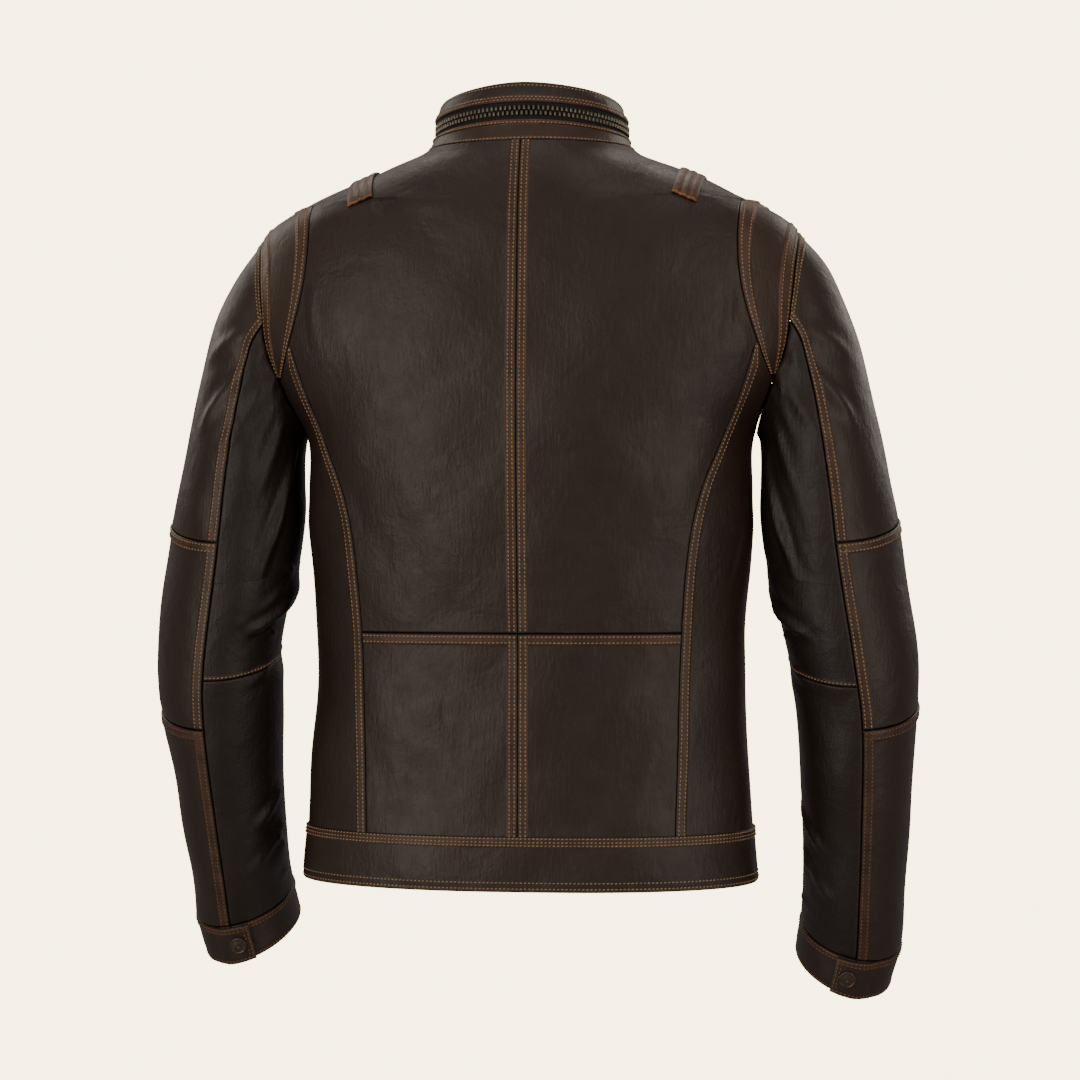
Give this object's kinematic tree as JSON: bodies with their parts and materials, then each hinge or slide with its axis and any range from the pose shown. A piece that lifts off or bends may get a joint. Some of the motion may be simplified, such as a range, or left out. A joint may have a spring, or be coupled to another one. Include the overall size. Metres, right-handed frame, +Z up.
{
  "type": "leather riding jacket",
  "caption": "Closed leather riding jacket with stand collar, collar zip, front zip, hand pockets, two-piece sleeves and snap cuffs.",
  "frame": {"origin": "centre of the neck opening, level with the nape seam", "axes": "+Z up along the body, -Y out of the front, +X to the wearer's left"},
  "size_m": [0.6781, 0.2347, 0.8005],
  "materials": {
    "leather": "waxed dark brown, rubbed lighter along seams",
    "dark_leather": "dark brown, satin",
    "lining": "satin weave",
    "zip_brass": "antique, darkened",
    "snap_bronze": "dark bronze plating"
  },
  "bodies": {
    "root": {"back_upper_left": "leather", "back_lower_left": "leather", "back_side_left": "leather", "shoulder_band_left": "leather", "front_yoke_left": "leather", "front_panel_left": "leather", "waistband_front_left": "leather", "shoulder_tab_left": "leather", "back_upper_right": "leather", "back_lower_right": "leather", "back_side_right": "leather", "shoulder_band_right": "leather", "front_yoke_right": "leather", "front_panel_right": "leather", "waistband_front_right": "leather", "shoulder_tab_right": "leather", "waistband_back": "leather", "collar_lower_band": "leather", "collar_upper_band": "leather", "hanger_loop": "dark_leather", "lining_back": "lining", "lining_front_left": "lining", "lining_front_right": "lining", "collar_zip_chain": "zip_brass", "front_zip_stringer_left": "zip_brass", "pocket_welt_left": "leather", "pocket_zip_chain_left": "zip_brass", "front_zip_stringer_right": "zip_brass", "pocket_welt_right": "leather", "pocket_zip_chain_right": "zip_brass"},
    "sleeve_left": {"sleeve_outer_upper_left": "leather", "sleeve_elbow_patch_left": "leather", "sleeve_under_upper_left": "leather", "sleeve_under_elbow_left": "leather", "sleeve_lining_left": "lining"},
    "forearm_left": {"sleeve_outer_lower_left": "leather", "sleeve_under_lower_left": "leather", "cuff_band_left": "leather", "snap_stud_left": "snap_bronze"},
    "cuff_flap_left": {"cuff_flap_left": "leather", "snap_cap_left": "snap_bronze"},
    "pocket_slider_left": {"pocket_zip_slider_left": "zip_brass"},
    "pocket_pull_left": {"pocket_zip_pull_left": "zip_brass"},
    "sleeve_right": {"sleeve_outer_upper_right": "leather", "sleeve_elbow_patch_right": "leather", "sleeve_under_upper_right": "leather", "sleeve_under_elbow_right": "leather", "sleeve_lining_right": "lining"},
    "forearm_right": {"sleeve_outer_lower_right": "leather", "sleeve_under_lower_right": "leather", "cuff_band_right": "leather", "snap_stud_right": "snap_bronze"},
    "cuff_flap_right": {"cuff_flap_right": "leather", "snap_cap_right": "snap_bronze"},
    "pocket_slider_right": {"pocket_zip_slider_right": "zip_brass"},
    "pocket_pull_right": {"pocket_zip_pull_right": "zip_brass"},
    "front_slider": {"front_zip_slider": "zip_brass"},
    "front_pull": {"front_zip_pull": "zip_brass"},
    "collar_slider": {"collar_zip_slider": "zip_brass"},
    "collar_pull": {"collar_zip_pull": "zip_brass"}
  },
  "joints": [
    {"name": "shoulder_swing_left", "type": "hinge", "parent": "root", "child": "sleeve_left", "pos_m": [0.236, -0.003, -0.074], "axis": [0, -1, 0], "range_deg": [0, 30]},
    {"name": "elbow_bend_left", "type": "hinge", "parent": "sleeve_left", "child": "forearm_left", "pos_m": [0.276, -0.008, -0.411], "axis": [-1, 0, 0], "range_deg": [0, 45], "deforming": ["sleeve_elbow_patch_left", "sleeve_under_elbow_left", "sleeve_lining_left"]},
    {"name": "cuff_flap_open_left", "type": "hinge", "parent": "forearm_left", "child": "cuff_flap_left", "pos_m": [0.29232, -0.0076, -0.6937], "axis": [-0.2205, -0.2204, -0.9502], "range_deg": [0, 100]},
    {"name": "pocket_zip_left", "type": "slide", "parent": "root", "child": "pocket_slider_left", "axis": [0.2011, 0.0729, -0.9769], "range_m": [0, 0.13]},
    {"name": "pocket_pull_tilt_left", "type": "hinge", "parent": "pocket_slider_left", "child": "pocket_pull_left", "pos_m": [0.11593, -0.10443, -0.4027], "axis": [-0.8781, -0.4286, -0.2128], "range_deg": [0, 70]},
    {"name": "shoulder_swing_right", "type": "hinge", "parent": "root", "child": "sleeve_right", "pos_m": [-0.236, -0.003, -0.074], "axis": [0, 1, 0], "range_deg": [0, 30]},
    {"name": "elbow_bend_right", "type": "hinge", "parent": "sleeve_right", "child": "forearm_right", "pos_m": [-0.276, -0.008, -0.411], "axis": [-1, 0, 0], "range_deg": [0, 45], "deforming": ["sleeve_elbow_patch_right", "sleeve_under_elbow_right", "sleeve_lining_right"]},
    {"name": "cuff_flap_open_right", "type": "hinge", "parent": "forearm_right", "child": "cuff_flap_right", "pos_m": [-0.30732, -0.0076, -0.7137], "axis": [-0.2205, 0.2204, 0.9502], "range_deg": [0, 100]},
    {"name": "pocket_zip_right", "type": "slide", "parent": "root", "child": "pocket_slider_right", "axis": [-0.2011, 0.0729, -0.9769], "range_m": [0, 0.13]},
    {"name": "pocket_pull_tilt_right", "type": "hinge", "parent": "pocket_slider_right", "child": "pocket_pull_right", "pos_m": [-0.11593, -0.10443, -0.4027], "axis": [-0.8781, 0.4286, 0.2128], "range_deg": [0, 70]},
    {"name": "front_zip", "type": "slide", "parent": "root", "child": "front_slider", "axis": [0, -0.022, -0.9998], "range_m": [0, 0.62]},
    {"name": "front_pull_tilt", "type": "hinge", "parent": "front_slider", "child": "front_pull", "pos_m": [0, -0.11012, -0.00194], "axis": [-1, 0, 0], "range_deg": [0, 80]},
    {"name": "collar_zip", "type": "hinge", "parent": "root", "child": "collar_slider", "pos_m": [0, -0.02, 0.0253], "axis": [0, 0, 1], "range_deg": [0, 320]},
    {"name": "collar_pull_tilt", "type": "hinge", "parent": "collar_slider", "child": "collar_pull", "pos_m": [0.0252, -0.10713, 0.0253], "axis": [-0.9606, -0.2779, 0], "range_deg": [0, 70]}
  ]
}
